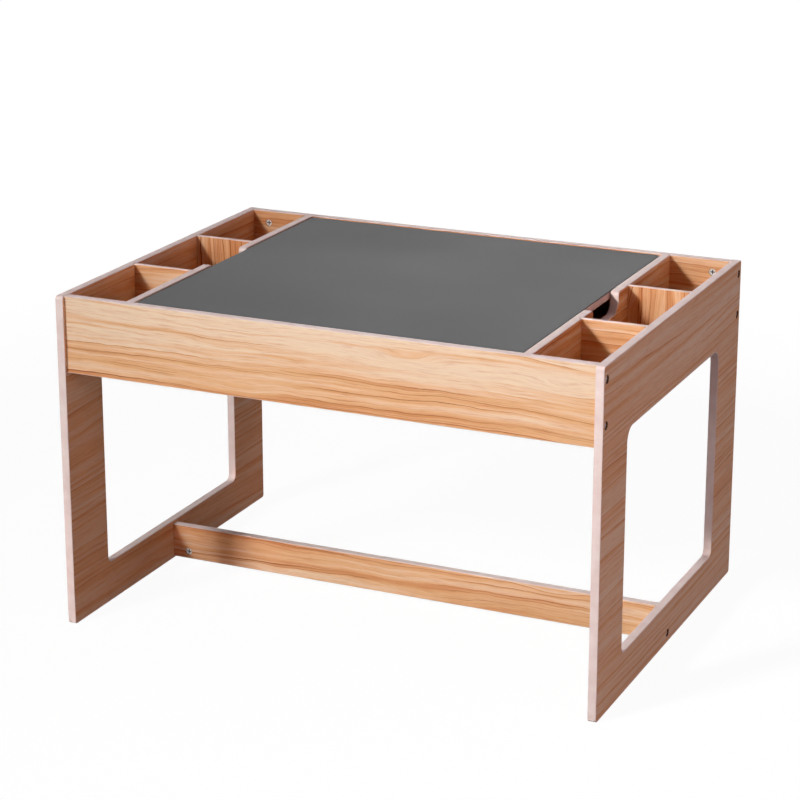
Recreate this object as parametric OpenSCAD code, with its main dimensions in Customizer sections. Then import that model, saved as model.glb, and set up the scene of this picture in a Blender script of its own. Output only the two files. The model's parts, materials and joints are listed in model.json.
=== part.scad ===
// Children's activity table with storage: a lift-off blackboard top over a shallow
// well, a tray of three compartments along each end, and a side panel at each end
// with one large window, so that its two legs and floor rail are a single board.
// X runs along the table, its front faces -Y, and the floor is Z = 0.

/* [Table] */
// Length over the outer faces of the two side panels
table_length = 800; // [700:10:1000]
// Depth of the side panels from front to rear
table_depth = 580; // [500:10:700]
// Height of the side panels above the floor
table_height = 485; // [430:5:560]
// Thickness of the laminated board that the frame is cut from
board_thickness = 12; // [12:1:18]
// Thickness of the plastic band glued on the cut edges of the boards
edge_band_thickness = 1; // [0.4:0.2:2]

/* [Side panels] */
// Radius of the outer corners of each side panel
panel_corner_radius = 5; // [3:1:15]
// Width of the front and rear leg left beside the window
leg_width = 95; // [70:5:140]
// Height of the rail left under the window
lower_rail_height = 60; // [58:2:120]
// Radius of the two upper corners of the window
window_head_radius = 20; // [5:1:60]
// Radius of the two lower corners of the window
window_foot_radius = 10; // [5:1:60]

/* [Aprons] */
// Height of the front and rear apron
apron_height = 110; // [90:5:140]
// How far each apron's face stands back from the edge of the side panels
apron_setback = 5; // [3:1:15]

/* [Stretcher] */
// Height of the stretcher between the lower rails
stretcher_height = 52; // [36:2:54]
// Gap between the stretcher and the floor
stretcher_floor_gap = 3; // [2:1:5]

/* [Trays] */
// Clear width of the tray between a side panel and its tray wall
tray_width = 91; // [75:1:120]
// Thickness of the loose dividers
divider_thickness = 6; // [4:1:9]
// Distance of each divider from the middle of the table's depth
divider_offset = 92; // [80:2:130]
// Depth of the open-topped grooves that hold the dividers
groove_depth = 4; // [3:0.5:6]
// Play of a divider in its groove, on each side and at each end
groove_clearance = 0.4; // [0.2:0.1:0.8]

/* [Finger notches] */
// Width of the notch in each tray wall, between its upright ends
notch_width = 102; // [70:2:130]
// Depth of the notch below the top of the wall
notch_depth = 30; // [20:1:50]
// Radius of the hollow corners at the bottom of the notch
notch_foot_radius = 20; // [5:1:30]
// Radius of the rounded lips at the top of the notch
notch_lip_radius = 6; // [3:0.5:10]

/* [Top] */
// Thickness of the lift-off top, with its blackboard sheet
top_thickness = 12; // [10:1:15]
// Thickness of the blackboard sheet
blackboard_thickness = 2; // [0.8:0.2:3]
// How far the blackboard lies below the rim of the table
top_setdown = 1; // [0:0.5:3]
// Gap between the top and each tray wall
top_side_gap = 2.5; // [1:0.5:5]
// Gap between the top and each apron
top_end_gap = 5; // [1:0.5:8]

/* [Well floor] */
// Thickness of the bottom panel of the well and trays
bottom_thickness = 6; // [3:1:9]
// Height of the bottom panel above the lower edge of the aprons
bottom_rise = 8; // [5:1:15]
// Depth of the grooves that hold the bottom panel
bottom_groove_depth = 5; // [3:0.5:7]
// Play of the bottom panel in its grooves
bottom_clearance = 0.2; // [0.1:0.1:0.5]

/* [Battens] */
// Width of the battens that the top rests on, out from the aprons
batten_width = 15; // [12:1:25]
// Height of the battens
batten_height = 20; // [15:1:30]
// Gap between each end of a batten and the tray wall
batten_end_gap = 0.5; // [0.2:0.1:1]
// Distance of the outer batten screws from the end of the batten
screw_end_distance = 50; // [25:5:120]
// Diameter of the batten screws
screw_diameter = 4; // [3:0.5:4.5]
// Diameter of the countersunk screw heads
screw_head_diameter = 8; // [7:0.5:10]
// Depth to which the batten screws run into the aprons
screw_bite = 8; // [5:0.5:10]

/* [Connector bolts] */
// Diameter of the bolts that draw the boards together
bolt_diameter = 6; // [5:0.5:7]
// Diameter of the bolt heads
bolt_head_diameter = 10.5; // [9:0.5:13]
// Thickness of the bolt heads
bolt_head_thickness = 3; // [2:0.5:4]
// How far the bolt heads lie below the face of the side panels
bolt_head_recess = 2.4; // [0.4:0.2:2.8]
// Radial play of the bolt heads in their counterbores
bolt_head_play = 0.6; // [0.3:0.1:0.9]
// Size of the hexagonal socket across its flats
socket_width = 4; // [3:0.5:5]
// Depth of the hexagonal socket
socket_depth = 2.5; // [1.5:0.5:4]
// Drop of the upper bolts below the top of the aprons
upper_bolt_drop = 19; // [14:1:26]
// Rise of the lower bolts above the lower edge of the aprons
lower_bolt_rise = 30; // [26:1:40]
// Rise of the stretcher bolts above the lower edge of the stretcher
stretcher_bolt_rise = 11; // [9:1:14]

/* [Barrel nuts] */
// Diameter of the barrel nuts
nut_diameter = 10; // [9:0.5:12]
// Distance of each barrel nut from the end of its board
nut_end_distance = 26; // [20:1:40]
// How far the nuts lie below the face of their board
nut_recess = 1.2; // [0.4:0.2:2]
// Wood left behind the blind hole of a nut
nut_blind_wall = 2; // [1:0.5:3]
// Length of both arms of the cross recess in a nut
cross_length = 7; // [5:0.5:8]
// Width of the arms of the cross recess
cross_width = 1.6; // [1:0.2:2]
// Depth of the cross recess
cross_depth = 1.2; // [0.6:0.2:1.6]

/* [Dowels] */
// Diameter of the wooden dowels
dowel_diameter = 6; // [5:1:8]
// Length of the wooden dowels
dowel_length = 30; // [24:2:40]
// Depth of the blind hole for a dowel in the face of a board
dowel_seat = 8; // [6:0.5:9]
// Distance of the tray wall dowels from the upper and lower edge of the wall
wall_dowel_inset = 20; // [15:1:30]
// Distance of the stretcher dowels from the upper edge of the stretcher
stretcher_dowel_drop = 12; // [9:1:14]
// Radial play of bolts, nuts and dowels in their holes
hole_clearance = 0.2; // [0.1:0.1:0.4]

/* [Hidden] */
$fn = 96;
hexagon = 6;
sides = [-1, 1];
// How far a cutter runs past the face that it opens
overrun = 1;

// Inner faces of the side panels, and the aprons between them
panel_inner_x = table_length / 2 - board_thickness;
apron_outer_y = table_depth / 2 - apron_setback;
apron_inner_y = apron_outer_y - board_thickness;
apron_middle_y = apron_outer_y - board_thickness / 2;
apron_foot_z = table_height - apron_height;
window_width = table_depth - 2 * leg_width;

// Tray walls, standing on the bottom panel between the aprons
wall_outer_x = panel_inner_x - tray_width;
wall_inner_x = wall_outer_x - board_thickness;
wall_middle_x = wall_outer_x - board_thickness / 2;
bottom_z = apron_foot_z + bottom_rise;
groove_reach_y = apron_inner_y + bottom_groove_depth;
wall_foot_z = bottom_z + bottom_thickness;
divider_height = table_height - wall_foot_z;

// The top, held clear of the tray walls and aprons and resting on the battens
top_length = 2 * (wall_inner_x - top_side_gap);
top_width = 2 * (apron_inner_y - top_end_gap);
top_core_thickness = top_thickness - blackboard_thickness;
batten_top_z = table_height - top_setdown - top_thickness;
batten_length = 2 * (wall_inner_x - batten_end_gap);
screw_spacing = batten_length / 2 - screw_end_distance;
screw_z = batten_top_z - batten_height / 2;

// Bolts along X at each end of the aprons and stretcher, with a nut across each
bolt_seat_x = table_length / 2 - bolt_head_recess - bolt_head_thickness;
nut_x = panel_inner_x - nut_end_distance;
bolt_tip_x = nut_x - nut_diameter / 2;
nut_length = board_thickness - nut_recess - nut_blind_wall;
stretcher_bolt_z = stretcher_floor_gap + stretcher_bolt_rise;
apron_bolt_heights = [table_height - upper_bolt_drop, apron_foot_z + lower_bolt_rise];
apron_bolts = [for (side = sides, z = apron_bolt_heights) [side * apron_middle_y, z]];
bolts = concat(apron_bolts, [[0, stretcher_bolt_z]]);

// Dowels that locate the stretcher and the tray walls
stretcher_dowel_z = stretcher_floor_gap + stretcher_height - stretcher_dowel_drop;
wall_dowel_heights = [wall_foot_z + wall_dowel_inset, table_height - wall_dowel_inset];

wood = [0.86, 0.66, 0.47];
band = [0.90, 0.83, 0.81];
slate = [0.36, 0.36, 0.36];
steel = [0.78, 0.78, 0.77];
beech = [0.88, 0.76, 0.58];

// ---- Helpers -----------------------------------------------------------------

// Draws a right-hand piece, or its mirror image at the left end of the table.
module at_end(side) {
    if (side < 0)
        mirror([1, 0, 0]) children();
    else
        children();
}

// Gives a profile drawn in Y and Z a thickness along +X from x.
module upright(x, thickness) {
    translate([x, 0, 0])
        rotate([90, 0, 90])
            linear_extrude(thickness)
                children();
}

// A block centred on X, given by its limits in Y and Z.
module rail(length, y, z) {
    translate([-length / 2, y[0], z[0]])
        cube([length, y[1] - y[0], z[1] - z[0]]);
}

// A rod along X between two stations.
module rod_x(from_x, to_x, diameter) {
    translate([from_x, 0, 0])
        rotate([0, 90, 0])
            cylinder(h = to_x - from_x, d = diameter);
}

// A rod along +Y from the origin.
module rod_y(length, diameter) {
    rotate([-90, 0, 0])
        cylinder(h = length, d = diameter);
}

// A rectangle centred on X between two heights, with its own radius at foot and head.
module rounded_rectangle(width, foot_z, head_z, foot_radius, head_radius) {
    half = width / 2;
    translate([-half, foot_z + foot_radius])
        square([width, head_z - foot_z - foot_radius - head_radius]);
    translate([foot_radius - half, foot_z])
        square([width - 2 * foot_radius, foot_radius]);
    translate([head_radius - half, head_z - head_radius])
        square([width - 2 * head_radius, head_radius]);
    for (side = sides) {
        translate([side * (half - foot_radius), foot_z + foot_radius])
            circle(foot_radius);
        translate([side * (half - head_radius), head_z - head_radius])
            circle(head_radius);
    }
}

// ---- Side panels -------------------------------------------------------------

// Outline of a side panel, drawn `inset` inside its finished size.
module panel_outline(inset) {
    radius = panel_corner_radius - inset;
    rounded_rectangle(table_depth - 2 * inset, inset, table_height - inset, radius, radius);
}

// The window of a side panel, drawn `outset` outside its finished size.
module window_outline(outset) {
    rounded_rectangle(window_width + 2 * outset,
        lower_rail_height - outset, apron_foot_z + outset,
        window_foot_radius + outset, window_head_radius + outset);
}

// The band round the outer edge of a side panel, between two heights.
module outer_band_profile(from_z, to_z) {
    intersection() {
        difference() {
            panel_outline(0);
            panel_outline(edge_band_thickness);
        }
        translate([-table_depth / 2, from_z])
            square([table_depth, to_z - from_z]);
    }
}

// Grooves for the dividers in a face at x, open at the top and cut towards `inward`.
module divider_grooves(x, inward) {
    width = divider_thickness + 2 * groove_clearance;
    for (side = sides)
        translate([x, side * divider_offset - width / 2, wall_foot_z])
            mirror([inward < 0 ? 1 : 0, 0, 0])
                translate([-overrun, 0, 0])
                    cube([groove_depth + overrun, width, divider_height + overrun]);
}

// Counterbored holes for the connector bolts through a side panel.
module panel_bolt_holes() {
    for (bolt = bolts)
        translate([0, bolt[0], bolt[1]]) {
            rod_x(panel_inner_x - overrun, bolt_seat_x, bolt_diameter + 2 * hole_clearance);
            rod_x(bolt_seat_x, table_length / 2 + overrun,
                bolt_head_diameter + 2 * bolt_head_play);
        }
}

module side_panel(side) {
    color(wood)
        at_end(side)
            difference() {
                upright(panel_inner_x, board_thickness)
                    difference() {
                        panel_outline(edge_band_thickness);
                        window_outline(edge_band_thickness);
                    }
                panel_bolt_holes();
                divider_grooves(panel_inner_x, 1);
                // groove for the end of the bottom panel
                translate([panel_inner_x - overrun, -groove_reach_y, bottom_z])
                    cube([bottom_groove_depth + overrun, 2 * groove_reach_y,
                        bottom_thickness]);
                // blind hole for the stretcher dowel
                translate([0, 0, stretcher_dowel_z])
                    rod_x(panel_inner_x - overrun, panel_inner_x + dowel_seat,
                        dowel_diameter + 2 * hole_clearance);
            }
}

// Band on the front, top and rear edge of a side panel, cut through by the dividers.
module side_edge_band(side) {
    color(band)
        at_end(side)
            difference() {
                upright(panel_inner_x, board_thickness)
                    outer_band_profile(panel_corner_radius, table_height);
                divider_grooves(panel_inner_x, 1);
            }
}

// Band under a side panel, round its lower corners.
module foot_edge_band(side) {
    color(band)
        at_end(side)
            upright(panel_inner_x, board_thickness)
                outer_band_profile(0, panel_corner_radius);
}

module window_edge_band(side) {
    color(band)
        at_end(side)
            upright(panel_inner_x, board_thickness)
                difference() {
                    window_outline(edge_band_thickness);
                    window_outline(0);
                }
}

// ---- Aprons, stretcher and bottom panel ----------------------------------------

// Bores along X in both ends of a board for its bolts.
module end_bores(y, heights) {
    for (side = sides, z = heights)
        at_end(side)
            translate([0, y, z])
                rod_x(bolt_tip_x - overrun, panel_inner_x + overrun,
                    bolt_diameter + 2 * hole_clearance);
}

// Blind holes for barrel nuts in a face at y that looks towards the front.
module nut_holes(y, heights) {
    for (side = sides, z = heights)
        translate([side * nut_x, y - overrun, z])
            rod_y(overrun + nut_recess + nut_length, nut_diameter + 2 * hole_clearance);
}

// An apron drawn as the rear one, its inner face towards the front.
module apron_board() {
    difference() {
        rail(2 * panel_inner_x, [apron_inner_y, apron_outer_y],
            [apron_foot_z + edge_band_thickness, table_height - edge_band_thickness]);
        end_bores(apron_middle_y, apron_bolt_heights);
        nut_holes(apron_inner_y, apron_bolt_heights);
        at_batten_screws()
            countersunk_screw(hole_clearance);
        // groove for the bottom panel
        rail(2 * (panel_inner_x + overrun),
            [apron_inner_y - overrun, groove_reach_y],
            [bottom_z, bottom_z + bottom_thickness]);
        // blind holes for the tray wall dowels
        for (side = sides, z = wall_dowel_heights)
            translate([side * wall_middle_x, apron_inner_y - overrun, z])
                rod_y(overrun + dowel_seat, dowel_diameter + 2 * hole_clearance);
    }
}

module front_apron() {
    color(wood) mirror([0, 1, 0]) apron_board();
}

module rear_apron() {
    color(wood) apron_board();
}

// Bands on the upper and lower edge of a board that runs along X.
module edge_bands(y, foot_z, head_z) {
    color(band) {
        rail(2 * panel_inner_x, y, [foot_z, foot_z + edge_band_thickness]);
        rail(2 * panel_inner_x, y, [head_z - edge_band_thickness, head_z]);
    }
}

module front_apron_edge_bands() {
    edge_bands([-apron_outer_y, -apron_inner_y], apron_foot_z, table_height);
}

module rear_apron_edge_bands() {
    edge_bands([apron_inner_y, apron_outer_y], apron_foot_z, table_height);
}

module stretcher() {
    color(wood)
        difference() {
            rail(2 * panel_inner_x, [-board_thickness / 2, board_thickness / 2],
                [stretcher_floor_gap + edge_band_thickness,
                stretcher_floor_gap + stretcher_height - edge_band_thickness]);
            end_bores(0, [stretcher_bolt_z]);
            nut_holes(-board_thickness / 2, [stretcher_bolt_z]);
            for (side = sides)
                at_end(side)
                    translate([0, 0, stretcher_dowel_z])
                        rod_x(panel_inner_x - dowel_length + dowel_seat - hole_clearance,
                            panel_inner_x + overrun, dowel_diameter + 2 * hole_clearance);
        }
}

module stretcher_edge_bands() {
    edge_bands([-board_thickness / 2, board_thickness / 2],
        stretcher_floor_gap, stretcher_floor_gap + stretcher_height);
}

// One thin panel in the grooves of the aprons and side panels, under well and trays.
module bottom_panel() {
    reach_x = panel_inner_x + bottom_groove_depth - bottom_clearance;
    reach_y = groove_reach_y - bottom_clearance;
    color(wood)
        rail(2 * reach_x, [-reach_y, reach_y], [bottom_z, bottom_z + bottom_thickness]);
}

// ---- Tray walls with their finger notches --------------------------------------

// The notch, drawn `outset` outside its finished size and open at the top.
module notch_outline(outset) {
    half = notch_width / 2 + outset;
    lip = notch_lip_radius - outset;
    foot = min(notch_foot_radius, notch_depth - notch_lip_radius) + outset;
    foot_z = table_height - notch_depth - outset;
    head_z = table_height - outset;
    // hollow foot and upright ends
    translate([-half, foot_z + foot])
        square([2 * half, head_z + overrun - foot_z - foot]);
    translate([foot - half, foot_z])
        square([2 * (half - foot), foot]);
    for (side = sides) {
        translate([side * (half - foot), foot_z + foot])
            circle(foot);
        // rounded lip
        mirror([side < 0 ? 1 : 0, 0])
            difference() {
                translate([half - overrun, head_z - lip])
                    square([lip + overrun, lip + overrun]);
                translate([half + lip, head_z - lip])
                    circle(lip);
            }
    }
}

// A tray wall seen from its side, drawn `inset` inside its finished upper edge.
module tray_wall_profile(inset) {
    difference() {
        translate([-apron_inner_y, wall_foot_z])
            square([2 * apron_inner_y, table_height - inset - wall_foot_z]);
        notch_outline(inset);
    }
}

module tray_wall(side) {
    color(wood)
        at_end(side)
            difference() {
                upright(wall_inner_x, board_thickness)
                    tray_wall_profile(edge_band_thickness);
                divider_grooves(wall_outer_x, -1);
                for (end = sides, z = wall_dowel_heights)
                    translate([wall_middle_x, end * (apron_inner_y + overrun), z])
                        mirror([0, end > 0 ? 1 : 0, 0])
                            rod_y(dowel_length - dowel_seat + overrun + hole_clearance,
                                dowel_diameter + 2 * hole_clearance);
            }
}

// One band along the upper edge of a tray wall, down and round its notch.
module tray_wall_edge_band(side) {
    color(band)
        at_end(side)
            difference() {
                upright(wall_inner_x, board_thickness)
                    difference() {
                        tray_wall_profile(0);
                        tray_wall_profile(edge_band_thickness);
                    }
                divider_grooves(wall_outer_x, -1);
            }
}

// ---- Dividers ------------------------------------------------------------------

// A slice of a divider between two heights, reaching into both of its grooves.
module divider_slice(side, row, from_z, to_z) {
    start_x = wall_outer_x - groove_depth + groove_clearance;
    end_x = panel_inner_x + groove_depth - groove_clearance;
    at_end(side)
        translate([start_x, row * divider_offset - divider_thickness / 2, from_z])
            cube([end_x - start_x, divider_thickness, to_z - from_z]);
}

module divider(side, row) {
    color(wood)
        divider_slice(side, row, wall_foot_z, table_height - edge_band_thickness);
}

module divider_edge_band(side, row) {
    color(band)
        divider_slice(side, row, table_height - edge_band_thickness, table_height);
}

// ---- Lift-off top and its battens ------------------------------------------------

module tabletop_core() {
    length = top_length - 2 * edge_band_thickness;
    reach_y = top_width / 2 - edge_band_thickness;
    color(wood)
        rail(length, [-reach_y, reach_y], [batten_top_z, batten_top_z + top_core_thickness]);
}

module tabletop_edge_band() {
    color(band)
        difference() {
            rail(top_length, [-top_width / 2, top_width / 2],
                [batten_top_z, batten_top_z + top_core_thickness]);
            rail(top_length - 2 * edge_band_thickness,
                [edge_band_thickness - top_width / 2, top_width / 2 - edge_band_thickness],
                [batten_top_z - overrun, batten_top_z + top_core_thickness + overrun]);
        }
}

module blackboard_sheet() {
    color(slate)
        rail(top_length, [-top_width / 2, top_width / 2],
            [batten_top_z + top_core_thickness, batten_top_z + top_thickness]);
}

// A countersunk screw along +Y, its head's face at the origin.
module countersunk_screw(play = 0) {
    radius = screw_diameter / 2 + play;
    head_radius = screw_head_diameter / 2 + play;
    head_depth = head_radius - radius;
    rotate([-90, 0, 0])
        rotate_extrude()
            polygon([[0, 0], [head_radius, 0], [radius, head_depth],
                [radius, batten_width + screw_bite + play],
                [0, batten_width + screw_bite + play]]);
}

// Places the three screws of the rear batten, driven from the well into the apron.
module at_batten_screws() {
    for (step = [-1, 0, 1])
        translate([step * screw_spacing, apron_inner_y - batten_width, screw_z])
            children();
}

module rear_batten_board() {
    difference() {
        rail(batten_length, [apron_inner_y - batten_width, apron_inner_y],
            [batten_top_z - batten_height, batten_top_z]);
        at_batten_screws()
            countersunk_screw(hole_clearance);
    }
}

module front_batten() {
    color(beech) mirror([0, 1, 0]) rear_batten_board();
}

module rear_batten() {
    color(beech) rear_batten_board();
}

module batten_screws() {
    color(steel)
        for (side = sides)
            mirror([0, side < 0 ? 1 : 0, 0])
                at_batten_screws()
                    countersunk_screw();
}

// ---- Hardware --------------------------------------------------------------------

// A bolt along X with a cylindrical head and a hexagonal socket.
module connector_bolt() {
    head_x = bolt_seat_x + bolt_head_thickness;
    difference() {
        union() {
            rod_x(bolt_tip_x, bolt_seat_x, bolt_diameter);
            rod_x(bolt_seat_x, head_x, bolt_head_diameter);
        }
        translate([head_x - socket_depth, 0, 0])
            rotate([0, 90, 0])
                cylinder(h = socket_depth + overrun,
                    d = socket_width / cos(180 / hexagon), $fn = hexagon);
    }
}

module connector_bolts() {
    color(steel)
        for (side = sides, bolt = bolts)
            at_end(side)
                translate([0, bolt[0], bolt[1]])
                    connector_bolt();
}

// A barrel nut along +Y from its face with a cross recess, drilled across for its bolt.
module barrel_nut() {
    difference() {
        rod_y(nut_length, nut_diameter);
        translate([0, board_thickness / 2 - nut_recess, 0])
            rod_x(-nut_diameter, nut_diameter, bolt_diameter + 2 * hole_clearance);
        for (arm = [[cross_length, cross_width], [cross_width, cross_length]])
            translate([-arm[0] / 2, -overrun, -arm[1] / 2])
                cube([arm[0], cross_depth + overrun, arm[1]]);
    }
}

module barrel_nuts() {
    color(steel)
        for (side = sides) {
            for (apron = sides, z = apron_bolt_heights)
                mirror([0, apron < 0 ? 1 : 0, 0])
                    translate([side * nut_x, apron_inner_y + nut_recess, z])
                        barrel_nut();
            translate([side * nut_x, nut_recess - board_thickness / 2, stretcher_bolt_z])
                barrel_nut();
        }
}

module stretcher_dowels() {
    color(beech)
        for (side = sides)
            at_end(side)
                translate([0, 0, stretcher_dowel_z])
                    rod_x(panel_inner_x + dowel_seat - dowel_length,
                        panel_inner_x + dowel_seat, dowel_diameter);
}

module tray_wall_dowels() {
    color(beech)
        for (side = sides, end = sides, z = wall_dowel_heights)
            mirror([0, end < 0 ? 1 : 0, 0])
                translate([side * wall_middle_x, apron_inner_y + dowel_seat - dowel_length, z])
                    rod_y(dowel_length, dowel_diameter);
}

// ---- Nodes -----------------------------------------------------------------------

side_panel(-1);  // side_panel_left
side_panel(1);  // side_panel_right
side_edge_band(-1);  // side_edge_band_left
side_edge_band(1);  // side_edge_band_right
foot_edge_band(-1);  // foot_edge_band_left
foot_edge_band(1);  // foot_edge_band_right
window_edge_band(-1);  // window_edge_band_left
window_edge_band(1);  // window_edge_band_right
front_apron();
rear_apron();
front_apron_edge_bands();
rear_apron_edge_bands();
stretcher();
stretcher_edge_bands();
tray_wall(-1);  // tray_wall_left
tray_wall(1);  // tray_wall_right
tray_wall_edge_band(-1);  // tray_wall_edge_band_left
tray_wall_edge_band(1);  // tray_wall_edge_band_right
bottom_panel();
divider(-1, -1);  // divider_left_front
divider(-1, 1);  // divider_left_rear
divider(1, -1);  // divider_right_front
divider(1, 1);  // divider_right_rear
divider_edge_band(-1, -1);  // divider_edge_band_left_front
divider_edge_band(-1, 1);  // divider_edge_band_left_rear
divider_edge_band(1, -1);  // divider_edge_band_right_front
divider_edge_band(1, 1);  // divider_edge_band_right_rear
tabletop_core();
tabletop_edge_band();
blackboard_sheet();
front_batten();
rear_batten();
batten_screws();
connector_bolts();
barrel_nuts();
stretcher_dowels();
tray_wall_dowels();
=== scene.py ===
"""Children's activity table with storage, dressed for a studio photograph.

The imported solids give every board, fitting and moving part its size and place.
This script gives the boards their printed wood grain, rounds the arrises of the edge
bands, fittings, blackboard and battens, and sets the floor, the lamps and the camera.
Lengths are in metres; X runs along the table, -Y is its front and Z is up.
"""

import json
import math

import bmesh
import bpy
from mathutils import Euler, Matrix, Vector

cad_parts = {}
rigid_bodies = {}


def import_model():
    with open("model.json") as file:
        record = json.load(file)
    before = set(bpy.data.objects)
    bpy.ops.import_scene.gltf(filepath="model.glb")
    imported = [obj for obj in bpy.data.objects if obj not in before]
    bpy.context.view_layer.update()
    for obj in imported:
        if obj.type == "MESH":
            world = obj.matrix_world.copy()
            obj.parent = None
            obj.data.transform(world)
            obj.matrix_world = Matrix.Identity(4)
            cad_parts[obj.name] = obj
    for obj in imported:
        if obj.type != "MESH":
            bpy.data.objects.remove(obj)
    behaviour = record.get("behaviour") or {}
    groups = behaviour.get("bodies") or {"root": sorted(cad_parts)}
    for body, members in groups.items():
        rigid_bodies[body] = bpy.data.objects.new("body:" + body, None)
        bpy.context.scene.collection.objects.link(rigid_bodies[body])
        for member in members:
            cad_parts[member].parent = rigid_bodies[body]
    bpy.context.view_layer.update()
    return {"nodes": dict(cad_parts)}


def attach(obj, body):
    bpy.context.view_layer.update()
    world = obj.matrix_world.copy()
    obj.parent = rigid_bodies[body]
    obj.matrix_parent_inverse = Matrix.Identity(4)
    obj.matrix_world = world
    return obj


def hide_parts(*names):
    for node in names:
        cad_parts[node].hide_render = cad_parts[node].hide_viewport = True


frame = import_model()
scene = bpy.context.scene

# ---- Colours ------------------------------------------------------------------------


def from_srgb(red, green, blue):
    """Linear colour with full alpha from the 0 to 255 values seen on a screen."""
    def linear(value):
        value /= 255
        return value / 12.92 if value <= 0.04045 else ((value + 0.055) / 1.055) ** 2.4
    return (linear(red), linear(green), linear(blue), 1.0)


def grey(share):
    """A grey that gives back this share of the light, with full alpha."""
    return (share, share, share, 1.0)


CREAM_WOOD = from_srgb(240, 213, 183)
HONEY_WOOD = from_srgb(234, 185, 139)
AMBER_WOOD = from_srgb(216, 149, 98)
RING_LINE = from_srgb(160, 84, 48)
FAINT_LINE = from_srgb(202, 124, 72)
PINK_BAND = from_srgb(241, 222, 216)
PINK_BAND_SHADE = from_srgb(233, 210, 203)
SLATE = from_srgb(93, 96, 96)
# lighter slate for the dust smears and for the painted sheen along the blackboard's middle
SLATE_DUST_AND_SHEEN = from_srgb(107, 110, 110)
ZINC = from_srgb(252, 252, 252)
ZINC_STAIN = from_srgb(236, 235, 232)
ZINC_SHADE = from_srgb(58, 54, 52)
BEECH = from_srgb(226, 194, 150)
BEECH_FLECK = from_srgb(196, 150, 104)
# the core's chips, painted darker than bare chipboard as shade in bores and grooves
CHIPS_IN_PAINTED_SHADE = from_srgb(128, 92, 62)
DARK_CHIPS_IN_PAINTED_SHADE = from_srgb(84, 56, 38)

# ---- Shader helpers -------------------------------------------------------------------


def fill(tree, node, values):
    """Links or sets the inputs of a node, told by their names or numbers."""
    for name, value in values.items():
        if isinstance(value, bpy.types.NodeSocket):
            tree.links.new(value, node.inputs[name])
        else:
            node.inputs[name].default_value = value


def put(tree, kind, values=None, **settings):
    """Adds a node, sets its options and fills its inputs."""
    node = tree.nodes.new(kind)
    for name, value in settings.items():
        setattr(node, name, value)
    fill(tree, node, values or {})
    return node


def calc(tree, operation, *values):
    """A Math node on sockets or plain numbers; returns its result."""
    return put(tree, "ShaderNodeMath", dict(enumerate(values)), operation=operation).outputs[0]


def plus(tree, total, *values):
    """The sum of sockets or plain numbers."""
    for value in values:
        total = calc(tree, "ADD", total, value)
    return total


def times(tree, product, *values):
    """The product of sockets or plain numbers."""
    for value in values:
        product = calc(tree, "MULTIPLY", product, value)
    return product


def centred(tree, value, reach):
    """A 0 to 1 value moved to run about zero, times its reach."""
    return times(tree, calc(tree, "SUBTRACT", value, 0.5), reach)


def remap(tree, value, given, wanted=(0.0, 1.0)):
    """A smooth step from one range of values to another, clamped."""
    node = put(tree, "ShaderNodeMapRange",
               {"Value": value, "From Min": given[0], "From Max": given[1],
                "To Min": wanted[0], "To Max": wanted[1]}, interpolation_type="SMOOTHSTEP")
    return node.outputs["Result"]


def noise(tree, place, detail=2.0, roughness=0.5, scale=1.0):
    """Noise between 0 and 1 at that place."""
    node = put(tree, "ShaderNodeTexNoise", {"Vector": place, "Scale": scale,
               "Detail": detail, "Roughness": roughness})
    return node.outputs["Fac"]


def stretched(tree, place, repeats):
    """The place vector scaled apart in its three directions."""
    return put(tree, "ShaderNodeVectorMath", {0: place, 1: repeats},
               operation="MULTIPLY").outputs[0]


def long_noise(tree, place, repeats, detail=2.0, roughness=0.5):
    """Noise that repeats so often per metre along the grain, across it and inwards."""
    return noise(tree, stretched(tree, place, repeats), detail, roughness)


def blend_colours(tree, share, first, second):
    """Mixes two colours by a share from 0 to 1."""
    node = put(tree, "ShaderNodeMix", data_type="RGBA")
    fill(tree, node, {0: share, 6: first, 7: second})
    return node.outputs[2]


def from_middle(tree, axis):
    """How far a point of the piece lies from the table's middle along this axis."""
    coordinates = put(tree, "ShaderNodeTexCoord").outputs["Object"]
    place = put(tree, "ShaderNodeSeparateXYZ", {0: coordinates}).outputs[axis]
    return calc(tree, "ABSOLUTE", place)


def new_group(name, inputs, outputs):
    """An empty shader node group with the named sockets."""
    group = bpy.data.node_groups.new(name, "ShaderNodeTree")
    for label, kind, default in inputs:
        socket = group.interface.new_socket(label, in_out="INPUT", socket_type=kind)
        if default is not None:
            socket.default_value = default
    for label, kind in outputs:
        group.interface.new_socket(label, in_out="OUTPUT", socket_type=kind)
    return group, group.nodes.new("NodeGroupInput"), group.nodes.new("NodeGroupOutput")


# ---- Shared effects -------------------------------------------------------------------

# how often each effect repeats per metre along the grain, across it and inwards
SWAY = (1.6, 4.0, 4.0)
RIPPLE = (9.0, 26.0, 26.0)
QUIVER = (48.0, 130.0, 60.0)
KNOTS = (4.5, 22.0, 12.0)
LINE_DRIFT = (1.1, 24.0, 16.0)
ZONES = (0.8, 17.0, 10.0)
STREAKS = (2.0, 95.0, 40.0)
FIBRES = (26.0, 560.0, 120.0)
PORES = (55.0, 900.0, 200.0)
BOLD_STRETCHES = (2.6, 75.0, 30.0)
FINE_STRETCHES = (6.0, 110.0, 30.0)

# how far each effect carries the grain to the side
SWAY_REACH = 0.040
RIPPLE_REACH = 0.0105
QUIVER_REACH = 0.0022
KNOT_REACH = 0.009

BOLD_LINE_SPACING = 0.0110
FINE_LINE_SPACING = 0.0042

# each knot sits in a cell of its own, and most cells, told by a random share, have none
KNOT_RADIUS = 0.34
CELLS_LEFT_CLEAR = (0.60, 0.66)


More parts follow.
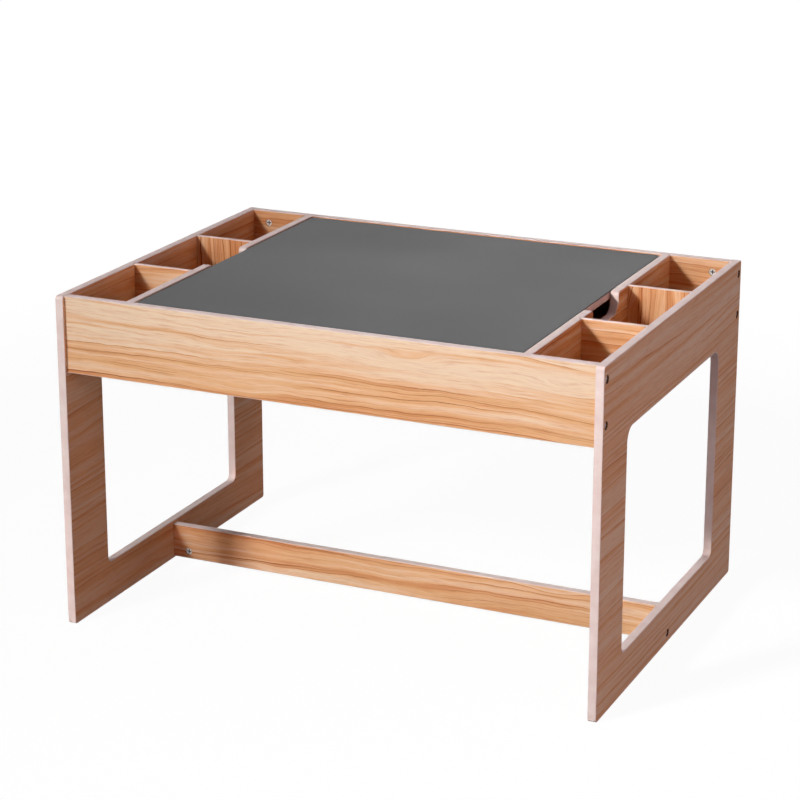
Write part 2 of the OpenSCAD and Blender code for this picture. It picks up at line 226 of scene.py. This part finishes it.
def sleeping_knots(tree, place):
    """1 at the heart of each scattered knot, fading to 0 around it."""
    cells = put(tree, "ShaderNodeTexVoronoi",
                {"Vector": stretched(tree, place, KNOTS), "Scale": 1.0, "Randomness": 0.8},
                voronoi_dimensions="3D").outputs
    chance = put(tree, "ShaderNodeSeparateColor", {0: cells["Color"]}).outputs[0]
    return times(tree, remap(tree, cells["Distance"], (KNOT_RADIUS, 0.0)),
                 remap(tree, chance, CELLS_LEFT_CLEAR))


def bent_across(tree, place, across, swing):
    """The way across the grain, which sways, ripples and quivers, and bulges round knots."""
    bends = plus(tree,
                 centred(tree, long_noise(tree, place, SWAY, detail=1.0), SWAY_REACH),
                 centred(tree, long_noise(tree, place, RIPPLE), RIPPLE_REACH),
                 centred(tree, long_noise(tree, place, QUIVER), QUIVER_REACH),
                 times(tree, sleeping_knots(tree, place), KNOT_REACH))
    return plus(tree, across, times(tree, bends, swing))


def line_phase(tree, across, flow, spacing, wander):
    """0 to 1 from each line of the print to the next; the lines wander along the board."""
    drift = long_noise(tree, flow, LINE_DRIFT, detail=1.0)
    return calc(tree, "FRACT", plus(tree, times(tree, across, 1.0 / spacing),
                                    times(tree, drift, wander)))


def ring_lines(tree, phase, crispness):
    """A line at the end of each phase, the thinner the crisper, that ends sharply."""
    return times(tree, calc(tree, "POWER", phase, crispness),
                 remap(tree, phase, (1.0, 0.95)))


def make_grain_group():
    """Printed wood grain that runs along the place's X and is cut across its Y."""
    group, given, result = new_group(
        "wood_grain",
        [("Place", "NodeSocketVector", None), ("Warmth", "NodeSocketFloat", 0.0),
         ("Lean", "NodeSocketFloat", 0.0), ("Figure", "NodeSocketFloat", 1.0),
         ("Swing", "NodeSocketFloat", 1.0)],
        [("Color", "NodeSocketColor"), ("Roughness", "NodeSocketFloat"),
         ("Height", "NodeSocketFloat")])
    place, warmth, lean, figure, swing = list(given.outputs)[:5]
    along, across, inwards = put(group, "ShaderNodeSeparateXYZ", {0: place}).outputs
    swayed = bent_across(group, place, across, swing)
    flow = put(group, "ShaderNodeCombineXYZ", {0: along, 1: swayed, 2: inwards}).outputs[0]
    zones = long_noise(group, flow, ZONES)
    streaks = long_noise(group, flow, STREAKS, detail=4.0, roughness=0.6)
    fibres = long_noise(group, flow, FIBRES, roughness=0.65)
    ticks = long_noise(group, flow, PORES, detail=1.0)

    # bold lines with a soft shadow come and go, with faint fine ones between them
    bold_phase = line_phase(group, swayed, flow, BOLD_LINE_SPACING, wander=4.5)
    fine_phase = line_phase(group, swayed, flow, FINE_LINE_SPACING, wander=9.0)
    bold = ring_lines(group, bold_phase, crispness=14.0)
    shadow = ring_lines(group, bold_phase, crispness=2.5)
    fine = ring_lines(group, fine_phase, crispness=8.0)
    boldness = remap(group, long_noise(group, flow, BOLD_STRETCHES, detail=3.0),
                     (0.40, 0.60), (0.10, 1.0))
    faintness = remap(group, long_noise(group, flow, FINE_STRETCHES),
                      (0.34, 0.62), (0.0, 0.95))

    # the wood runs from cream over honey to amber as its heat grows
    heat = times(group, plus(group, centred(group, zones, 2.0),
                             centred(group, streaks, 2.5)), swing)
    heat = plus(group, heat, plus(group, warmth, times(group, across, lean)),
                times(group, shadow, boldness, 0.75))
    tone = blend_colours(group, remap(group, heat, (-0.35, 0.45)), CREAM_WOOD, HONEY_WOOD)
    tone = blend_colours(group, remap(group, heat, (0.15, 1.15)), tone, AMBER_WOOD)

    # lines and pores are printed deeper where the wood is warmer
    depth_of_print = remap(group, heat, (-0.1, 0.9), (0.28, 1.15))
    line = calc(group, "MAXIMUM", times(group, bold, boldness),
                times(group, fine, faintness))
    line = times(group, line, depth_of_print, figure)
    ink = blend_colours(group, remap(group, line, (0.15, 0.6)), FAINT_LINE, RING_LINE)
    tone = blend_colours(group, remap(group, line, (0.0, 0.8)), tone, ink)
    pores = times(group, remap(group, ticks, (0.58, 0.76), (0.0, 0.40)), depth_of_print)
    for flecks in (remap(group, fibres, (0.45, 0.78), (0.0, 0.42)), pores):
        tone = blend_colours(group, flecks, tone, FAINT_LINE)
    fill(group, result, {
        "Color": tone,
        "Roughness": remap(group, streaks, (0.2, 0.8), (0.42, 0.54)),
        "Height": calc(group, "SUBTRACT", fibres, times(group, line, 0.8))})
    return group


def make_speckle_group():
    """Fine spots and wide clouds that keep a plain surface from looking flat."""
    group, given, result = new_group(
        "fine_speckle",
        [("Place", "NodeSocketVector", None), ("Spot Scale", "NodeSocketFloat", 900.0),
         ("Cloud Scale", "NodeSocketFloat", 14.0)],
        [("Spots", "NodeSocketFloat"), ("Clouds", "NodeSocketFloat")])
    place, spot_scale, cloud_scale = list(given.outputs)[:3]
    fill(group, result, {
        "Spots": noise(group, place, detail=3.0, roughness=0.6, scale=spot_scale),
        "Clouds": noise(group, place, detail=3.0, scale=cloud_scale)})
    return group


GRAIN = make_grain_group()
SPECKLE = make_speckle_group()

# ---- Materials ------------------------------------------------------------------------

AXES = {"X": Vector((1.0, 0.0, 0.0)), "Y": Vector((0.0, 1.0, 0.0)),
        "Z": Vector((0.0, 0.0, 1.0))}
WOOD_GLOSS = 0.05
PLASTIC_GLOSS = 0.12


def turned_to(along, across):
    """The turn that brings these two axes of the table to X and Y of a print."""
    rows = (AXES[along], AXES[across], AXES[along].cross(AXES[across]))
    return Matrix(rows).to_euler()


def new_material(name):
    """A material with only its Principled shader; returns it, its tree and the shader."""
    material = bpy.data.materials.new(name)
    material.use_nodes = True
    return material, material.node_tree, material.node_tree.nodes["Principled BSDF"]


def on_surface(tree, turn=(0.0, 0.0, 0.0), shift=(0.0, 0.0, 0.0)):
    """Object coordinates, turned and shifted for this board."""
    coordinates = put(tree, "ShaderNodeTexCoord").outputs["Object"]
    mapping = put(tree, "ShaderNodeMapping", {"Vector": coordinates, "Location": shift,
                  "Rotation": turn}, vector_type="POINT")
    return mapping.outputs["Vector"]


def speckle(tree, spot_scale, cloud_scale):
    """The spots and clouds of the speckle group on the piece's surface."""
    group = put(tree, "ShaderNodeGroup", {"Place": on_surface(tree), "Spot Scale": spot_scale,
                "Cloud Scale": cloud_scale}, node_tree=SPECKLE)
    return group.outputs["Spots"], group.outputs["Clouds"]


def bump(tree, height, strength, distance):
    """The normal of a surface that rises with the height by so much at most."""
    node = put(tree, "ShaderNodeBump", {"Height": height, "Strength": strength,
               "Distance": distance})
    return node.outputs["Normal"]


def raw_chips_in_painted_shade(tree):
    """The pressed wood chips of a board's core, painted darker than bare chips as painted
    shade inside bores and grooves.
    """
    _, clouds = speckle(tree, 900.0, 380.0)
    return blend_colours(tree, remap(tree, clouds, (0.35, 0.65)), CHIPS_IN_PAINTED_SHADE, DARK_CHIPS_IN_PAINTED_SHADE)


def looks_inside(tree, along, across):
    """1 on surfaces that face across the board's thickness: bores, grooves and cut edges."""
    thin = next(axis for axis in AXES if axis not in (along, across))
    normal = put(tree, "ShaderNodeTexCoord").outputs["Normal"]
    towards = put(tree, "ShaderNodeSeparateXYZ", {0: normal}).outputs[thin]
    return calc(tree, "LESS_THAN", calc(tree, "ABSOLUTE", towards), 0.5)


def wood_print(name, along, across, shift, warmth, lean, figure, swing):
    """Chipboard faced with printed wood grain that runs along one axis."""
    material, tree, shader = new_material(name)
    grain = put(tree, "ShaderNodeGroup",
                {"Place": on_surface(tree, turned_to(along, across), shift),
                 "Warmth": warmth, "Lean": lean, "Figure": figure, "Swing": swing},
                node_tree=GRAIN).outputs
    # bores, grooves and cut edges show the core's chips with painted shade
    fill(tree, shader, {
        "Base Color": blend_colours(tree, looks_inside(tree, along, across),
                                    grain["Color"], raw_chips_in_painted_shade(tree)),
        "Roughness": grain["Roughness"],
        "Specular IOR Level": WOOD_GLOSS,
        "Normal": bump(tree, grain["Height"], strength=0.15, distance=0.00005)})
    return material


def pink_banding():
    """Pale pinkish plastic strip with the faintest mottling."""
    material, tree, shader = new_material("pink_edge_banding")
    spots, clouds = speckle(tree, 700.0, 45.0)
    fill(tree, shader, {
        "Base Color": blend_colours(tree, remap(tree, clouds, (0.3, 0.7)),
                                    PINK_BAND, PINK_BAND_SHADE),
        "Roughness": remap(tree, spots, (0.2, 0.8), (0.30, 0.42)),
        "Specular IOR Level": PLASTIC_GLOSS,
        "Normal": bump(tree, spots, strength=0.15, distance=0.00005)})
    return material


# distances from the board's middle line at which the painted sheen starts to fade and ends
PAINTED_SHEEN_FADE = (0.02, 0.22)


def slate_board():
    """Matt slate-grey writing surface with smears of dust and a painted sheen along its
    middle.
    """
    material, tree, shader = new_material("slate_blackboard")
    spots, clouds = speckle(tree, 1400.0, 5.0)
    smears = times(tree, remap(tree, clouds, (0.3, 0.75), (0.0, 0.35)),
                   remap(tree, spots, (0.25, 0.75), (0.5, 1.0)))
    # painted sheen: the slate is lighter along the board's middle line
    painted_sheen = remap(tree, from_middle(tree, "Y"), PAINTED_SHEEN_FADE, (0.65, 0.0))
    fill(tree, shader, {
        "Base Color": blend_colours(tree, plus(tree, smears, painted_sheen), SLATE, SLATE_DUST_AND_SHEEN),
        "Roughness": remap(tree, clouds, (0.2, 0.8), (0.52, 0.62)),
        "Specular IOR Level": PLASTIC_GLOSS,
        "Normal": bump(tree, spots, strength=0.3, distance=0.00006)})
    return material


# the nuts' recesses lie deeper than this behind the face of the board that holds them
RECESS_DEPTH = 0.0017


def depths_of(board):
    """How far each corner of a board lies from the table's middle along Y."""
    return [abs(vertex.co.y) for vertex in frame["nodes"][board].data.vertices]


def nut_recess(tree):
    """1 inside the cross recesses of the stretcher's and of the aprons' barrel nuts."""
    distance = from_middle(tree, "Y")
    stretcher_face = max(depths_of("stretcher"))
    apron_face = min(depths_of("front_apron"))
    return calc(tree, "MAXIMUM",
                calc(tree, "LESS_THAN", distance, stretcher_face - RECESS_DEPTH),
                calc(tree, "GREATER_THAN", distance, apron_face + RECESS_DEPTH))


def bright_zinc(name, metallic, has_recess):
    """Bright zinc plating with faint stains and painted shade inside the recess of a nut."""
    material, tree, shader = new_material(name)
    spots, clouds = speckle(tree, 1600.0, 260.0)
    plating = blend_colours(tree, remap(tree, clouds, (0.4, 0.7)), ZINC, ZINC_STAIN)
    if has_recess:
        # painted shade in the nuts' cross recesses
        plating = blend_colours(tree, nut_recess(tree), plating, ZINC_SHADE)
    fill(tree, shader, {
        "Base Color": plating,
        "Metallic": metallic,
        "Roughness": remap(tree, spots, (0.2, 0.8), (0.22, 0.40))})
    return material


BEECH_FLECKS = (110.0, 900.0, 900.0)
BEECH_DRIFT = (3.0, 70.0, 70.0)


def bare_beech(name, along, across):
    """Bare beech with its short darker flecks along the grain."""
    material, tree, shader = new_material(name)
    place = on_surface(tree, turned_to(along, across))
    flecks = long_noise(tree, place, BEECH_FLECKS)
    drift = long_noise(tree, place, BEECH_DRIFT, detail=3.0)
    share = plus(tree, remap(tree, flecks, (0.58, 0.72), (0.0, 0.5)),
                 remap(tree, drift, (0.3, 0.8), (0.0, 0.4)))
    fill(tree, shader, {
        "Base Color": blend_colours(tree, share, BEECH, BEECH_FLECK),
        "Roughness": remap(tree, drift, (0.2, 0.8), (0.55, 0.7)),
        "Normal": bump(tree, flecks, strength=0.3, distance=0.0001)})
    return material


def dress(node, material):
    """Gives a CAD node one material in all its slots."""
    mesh = frame["nodes"][node].data
    if not mesh.materials:
        mesh.materials.append(material)
    for index in range(len(mesh.materials)):
        mesh.materials[index] = material


# how the print lies on each board: the axis its grain runs along, the axis it is cut
# across, its shift, its warmth, how much warmer it gets per metre across (its lean), how
# strongly its lines are printed (its figure) and how far its grain bends (its swing)
PRINTS = {
    "front_apron": ("X", "Z", (0.90, -0.43, 0.35), 0.12, -8.0, 1.4, 1.0),
    "rear_apron": ("X", "Z", (3.10, -0.43, 0.20), 0.15, 4.0, 1.1, 1.0),
    "stretcher": ("X", "Z", (4.60, -0.03, 2.20), 0.15, 0.0, 1.3, 1.1),
    "side_panel_left": ("Y", "Z", (1.30, -0.25, 0.30), 0.21, 0.0, 0.8, 0.5),
    "side_panel_right": ("Y", "Z", (2.60, -0.25, 1.10), 0.10, 0.0, 0.8, 0.5),
    # the tray walls and dividers are printed warmer, so darker and redder, than the aprons:
    # painted shade for the insides of the trays
    "tray_wall_left": ("Y", "Z", (6.20, -0.43, 0.80), 0.30, 0.0, 1.1, 1.0),
    "tray_wall_right": ("Y", "Z", (7.40, -0.43, 0.50), 0.30, 0.0, 1.1, 1.0),
    "bottom_panel": ("X", "Y", (8.80, 0.00, 0.90), 0.10, 0.0, 1.0, 1.0),
    "divider_left_front": ("X", "Z", (9.50, -0.43, 1.40), 0.25, 0.0, 1.1, 1.0),
    "divider_left_rear": ("Z", "X", (10.2, 0.00, 1.10), 0.30, 0.0, 1.6, 1.0),
    "divider_right_front": ("X", "Z", (11.6, -0.43, 1.70), 0.25, 0.0, 1.1, 1.0),
    "divider_right_rear": ("Z", "X", (12.4, 0.00, 1.30), 0.30, 0.0, 1.6, 1.0),
    "tabletop_core": ("X", "Y", (13.0, 0.00, 1.90), 0.10, 0.0, 1.0, 1.0),
}
for board, print_values in PRINTS.items():
    dress(board, wood_print("wood_print_" + board, *print_values))

BANDING = pink_banding()
BRIGHT_ZINC = bright_zinc("bright_zinc", metallic=0.6, has_recess=False)
BEECH_ALONG_X = bare_beech("bare_beech_along_x", "X", "Y")
for name in frame["nodes"]:
    if "edge_band" in name:
        dress(name, BANDING)
for fitting in ("connector_bolts", "batten_screws"):
    dress(fitting, BRIGHT_ZINC)
dress("barrel_nuts", bright_zinc("bright_zinc_nuts", metallic=0.2, has_recess=True))
dress("blackboard_sheet", slate_board())
for stick in ("front_batten", "rear_batten", "stretcher_dowels"):
    dress(stick, BEECH_ALONG_X)
dress("tray_wall_dowels", bare_beech("bare_beech_along_y", "Y", "X"))

# ---- Rounded arrises ------------------------------------------------------------------

MERGE_GAP = 0.00001
FLAT_ANGLE = math.radians(0.5)
SHARP_ANGLE = math.radians(35)
ARRIS_STEPS = 3
BAND_ARRIS = 0.0009
FITTING_ARRIS = 0.0004
BLACKBOARD_ARRIS = 0.0003
BATTEN_ARRIS = 0.0012

# an arris further than this from the band's board lies on the band's open face
BAND_OUTSIDE = 0.0007
# only the battens' edges longer than this are rounded
LONG_EDGE = 0.5


def open_for_editing(piece):
    """Selects this piece alone and opens it in edit mode, to work on its edges."""
    bpy.ops.object.select_all(action="DESELECT")
    piece.select_set(True)
    bpy.context.view_layer.objects.active = piece
    bpy.ops.object.mode_set(mode="EDIT")
    bpy.ops.mesh.select_mode(type="EDGE")


def join_triangles():
    """Welds the open piece's loose triangles into whole flat faces."""
    bpy.ops.mesh.select_all(action="SELECT")
    bpy.ops.mesh.remove_doubles(threshold=MERGE_GAP)
    bpy.ops.mesh.dissolve_limited(angle_limit=FLAT_ANGLE)
    bpy.ops.mesh.select_all(action="DESELECT")


def select_arrises(piece, is_arris):
    """Selects the chosen ones among the open piece's sharp edges."""
    mesh = bmesh.from_edit_mesh(piece.data)
    for edge in mesh.edges:
        if len(edge.link_faces) == 2 and edge.calc_face_angle() > SHARP_ANGLE:
            edge.select_set(is_arris(edge))
    mesh.select_flush_mode()
    bmesh.update_edit_mesh(piece.data)


def shade_evenly(piece):
    """Smooth shading that keeps flat faces flat and the edges left sharp."""
    bpy.ops.object.shade_smooth_by_angle(angle=SHARP_ANGLE)
    weighted = piece.modifiers.new("even_normals", "WEIGHTED_NORMAL")
    weighted.keep_sharp = True
    bpy.ops.object.modifier_apply(modifier=weighted.name)


def round_arrises(node, radius, is_arris):
    """Puts a copy with its chosen sharp edges rounded in the place of a CAD node."""
    source = frame["nodes"][node]
    body = source.parent.name.split(":")[1]
    piece = source.copy()
    piece.data = source.data.copy()
    piece.name = node + "_rounded"
    piece.parent = None
    scene.collection.objects.link(piece)
    open_for_editing(piece)
    join_triangles()
    select_arrises(piece, is_arris)
    bpy.ops.mesh.bevel(offset=radius, offset_type="OFFSET", segments=ARRIS_STEPS,
                       profile=0.5, affect="EDGES", clamp_overlap=True)
    bpy.ops.object.mode_set(mode="OBJECT")
    shade_evenly(piece)
    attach(piece, body)
    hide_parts(node)


def on_open_face_of_band(core):
    """Tells an arris on the band's open face from one against its board."""
    board = frame["nodes"][core]

    def is_outside(edge):
        middle = (edge.verts[0].co + edge.verts[1].co) / 2
        found, nearest, _, _ = board.closest_point_on_mesh(middle)
        return found and (middle - nearest).length > BAND_OUTSIDE
    return is_outside


def is_any(edge):
    """Tells that every sharp edge is an arris."""
    return True


def is_long(edge):
    """Tells the arrises that run along a batten."""
    return edge.calc_length() > LONG_EDGE


def cores_of_bands():
    """The board that each edge band is glued to."""
    sides = ("left", "right")
    cores = {}
    for place in ("side", "foot", "window"):
        for side in sides:
            cores[place + "_edge_band_" + side] = "side_panel_" + side
    for board in ("front_apron", "rear_apron", "stretcher"):
        cores[board + "_edge_bands"] = board
    for side in sides:
        cores["tray_wall_edge_band_" + side] = "tray_wall_" + side
    for side in sides:
        for row in ("_front", "_rear"):
            cores["divider_edge_band_" + side + row] = "divider_" + side + row
    cores["tabletop_edge_band"] = "tabletop_core"
    return cores


for band, core in cores_of_bands().items():
    round_arrises(band, BAND_ARRIS, on_open_face_of_band(core))
for fitting in ("connector_bolts", "barrel_nuts"):
    round_arrises(fitting, FITTING_ARRIS, is_any)
round_arrises("blackboard_sheet", BLACKBOARD_ARRIS, is_any)
for batten in ("front_batten", "rear_batten"):
    round_arrises(batten, BATTEN_ARRIS, is_long)

# ---- Floor and background -------------------------------------------------------------

WHITE = grey(1.0)
FLOOR_SIZE = 14.0
FLOOR_GREY = grey(0.15)
FAINT_GREY = grey(0.08)
# the floor glows a little less near the table, where its faint grey is lit by the lamps
GLOW = (0.95, 1.0)
GLOW_DISTANCES = (0.9, 2.4)
SKY_COLOUR = (1.0, 0.80, 0.80, 1.0)
SKY_STRENGTH = 0.03


def sees_white(tree):
    """1 for rays that should meet a white studio: the camera's and mirror-like ones."""
    rays = put(tree, "ShaderNodeLightPath").outputs
    seen = calc(tree, "MAXIMUM", rays["Is Camera Ray"], rays["Is Glossy Ray"])
    return calc(tree, "MAXIMUM", seen, rays["Is Transmission Ray"])


def make_floor():
    """A floor that looks white with a faint shadow, but throws back little light."""
    bpy.ops.object.select_all(action="DESELECT")
    bpy.ops.mesh.primitive_plane_add(size=FLOOR_SIZE, location=(0.0, 0.0, 0.0))
    floor = bpy.context.object
    floor.name = "studio_floor"
    material = bpy.data.materials.new("white_floor")
    material.use_nodes = True
    tree = material.node_tree
    tree.nodes.clear()
    matt = put(tree, "ShaderNodeBsdfDiffuse", {"Color": FLOOR_GREY})
    spot = put(tree, "ShaderNodeTexCoord").outputs["Object"]
    distance = put(tree, "ShaderNodeVectorMath", {0: spot}, operation="LENGTH")
    strength = remap(tree, distance.outputs["Value"], GLOW_DISTANCES, GLOW)
    glow = put(tree, "ShaderNodeEmission", {"Color": WHITE, "Strength": strength})
    faint = put(tree, "ShaderNodeBsdfDiffuse", {"Color": FAINT_GREY})
    white = put(tree, "ShaderNodeAddShader", {0: glow.outputs[0], 1: faint.outputs[0]})
    mix = put(tree, "ShaderNodeMixShader", {0: sees_white(tree), 1: matt.outputs[0],
              2: white.outputs[0]})
    put(tree, "ShaderNodeOutputMaterial", {"Surface": mix.outputs[0]})
    floor.data.materials.append(material)


def make_world():
    """A sky that looks white, but gives the table only a faint rosy light."""
    world = bpy.data.worlds.new("studio")
    scene.world = world
    world.use_nodes = True
    tree = world.node_tree
    tree.nodes.clear()
    sky = put(tree, "ShaderNodeBackground", {"Color": SKY_COLOUR, "Strength": SKY_STRENGTH})
    white = put(tree, "ShaderNodeBackground", {"Color": WHITE, "Strength": 1.0})
    mix = put(tree, "ShaderNodeMixShader", {0: sees_white(tree), 1: sky.outputs[0],
              2: white.outputs[0]})
    put(tree, "ShaderNodeOutputWorld", {"Surface": mix.outputs[0]})


make_floor()
make_world()

# ---- Lamps ----------------------------------------------------------------------------

PLAIN_LIGHT = (1.0, 1.0, 1.0)
ROSY_LIGHT = (1.0, 0.71, 0.76)
WARM_LIGHT = (1.0, 0.45, 0.35)
TABLE_MIDDLE = (0.0, 0.0, 0.30)


def softbox(name, place, aim, size, power, spread=180.0, colour=PLAIN_LIGHT):
    """A square studio lamp of so many watts that looks at a point.

    The spread is the widest angle of its beam in degrees.
    """
    lamp = bpy.data.lights.new(name, "AREA")
    lamp.shape = "SQUARE"
    lamp.size = size
    lamp.energy = power
    lamp.spread = math.radians(spread)
    lamp.color = colour
    holder = bpy.data.objects.new(name, lamp)
    scene.collection.objects.link(holder)
    holder.visible_camera = False
    holder.location = place
    holder.rotation_euler = (Vector(aim) - Vector(place)).to_track_quat("-Z", "Y").to_euler()


# the narrow key adds light towards the table's right end
softbox("key_left_narrow", (-2.05, -4.05, 2.85), (0.60, -0.05, 0.42),
        size=0.7, power=8.2, spread=35.0)
softbox("key_left_wide", (-1.85, -3.90, 2.70), TABLE_MIDDLE, size=0.8, power=38.5)
softbox("fill_front", (-1.60, -4.60, 1.10), TABLE_MIDDLE, size=1.0, power=37.0)

# two low beams on the stretcher: one along it, and a warm one on the left leg's shadow
softbox("fill_low", (-1.30, -2.60, 0.25), (-0.10, 0.0, 0.03),
        size=0.3, power=0.13, spread=16.0)
softbox("bounce_left", (-0.25, -2.80, 0.25), (-0.31, 0.0, 0.04),
        size=0.2, power=0.014, spread=6.0, colour=WARM_LIGHT)

softbox("fill_right", (3.05, -1.10, 0.80), TABLE_MIDDLE,
        size=1.2, power=23.5, colour=ROSY_LIGHT)
softbox("fill_overhead", (0.50, 1.30, 2.90), (0.0, 0.0, 0.40),
        size=1.6, power=12.0, colour=ROSY_LIGHT)
softbox("fill_rear", (-1.20, 3.60, 0.40), TABLE_MIDDLE, size=1.2, power=26.0)

# ---- Camera ---------------------------------------------------------------------------

# where the camera stands, and which way it looks: round from +X and up from level
EYE = Vector((1.3781, -3.0527, 1.3883))
LOOK_AZIMUTH = 1.998
LOOK_PITCH = -0.293
# the lens's focal length and the row of its sight line, in pixels of the square picture
LENS_PIXELS = 2458.5
SIGHT_LINE_ROW = 350
PICTURE_PIXELS = 800
SENSOR_MILLIMETRES = 36.0
NEAREST_SEEN = 0.05
FURTHEST_SEEN = 60.0


def make_camera():
    """The camera at the photograph's viewing angle, its lens shifted a little."""
    camera = bpy.data.cameras.new("camera")
    camera.sensor_width = SENSOR_MILLIMETRES
    camera.lens = LENS_PIXELS / PICTURE_PIXELS * SENSOR_MILLIMETRES
    camera.shift_y = (SIGHT_LINE_ROW - PICTURE_PIXELS / 2) / PICTURE_PIXELS
    camera.clip_start = NEAREST_SEEN
    camera.clip_end = FURTHEST_SEEN
    viewer = bpy.data.objects.new("camera", camera)
    scene.collection.objects.link(viewer)
    viewer.location = EYE
    viewer.rotation_euler = Euler((math.pi / 2 + LOOK_PITCH, 0.0, LOOK_AZIMUTH - math.pi / 2))
    scene.camera = viewer


make_camera()
scene.view_settings.view_transform = "Standard"
